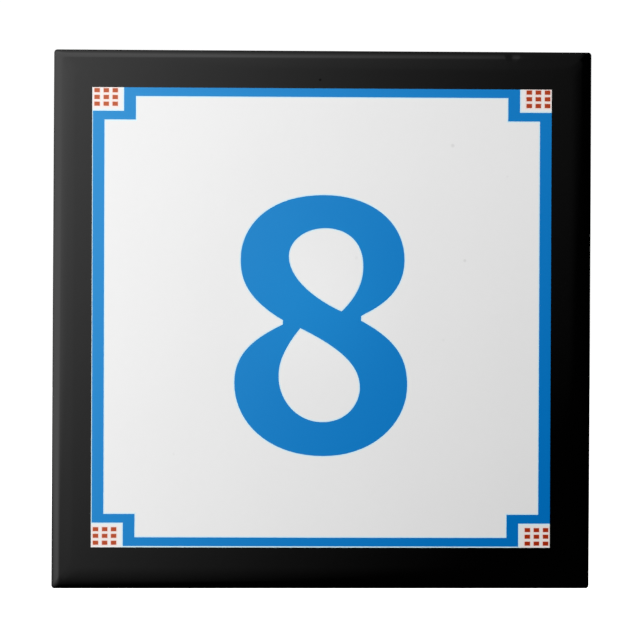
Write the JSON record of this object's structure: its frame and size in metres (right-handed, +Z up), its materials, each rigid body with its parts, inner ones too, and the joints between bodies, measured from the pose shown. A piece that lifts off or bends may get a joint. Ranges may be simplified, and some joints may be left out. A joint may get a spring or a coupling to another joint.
{
  "type": "house number tile",
  "caption": "Square glazed ceramic wall tile with cushion edges, printed as a house number plaque: black border, white field in a blue stepped frame, one blue numeral.",
  "frame": {"origin": "centre of the flat back face, the face that is bonded to the wall", "axes": "+Z up, the printed face looks along -Y, +Y points into the wall, +X to the right as seen from the front"},
  "size_m": [0.108, 0.006, 0.108],
  "materials": {
    "glazed_tile": "glossy white glaze with fused black, blue and red print; the back is unglazed bisque"
  },
  "bodies": {
    "root": {"number_tile": "glazed_tile"}
  },
  "joints": []
}
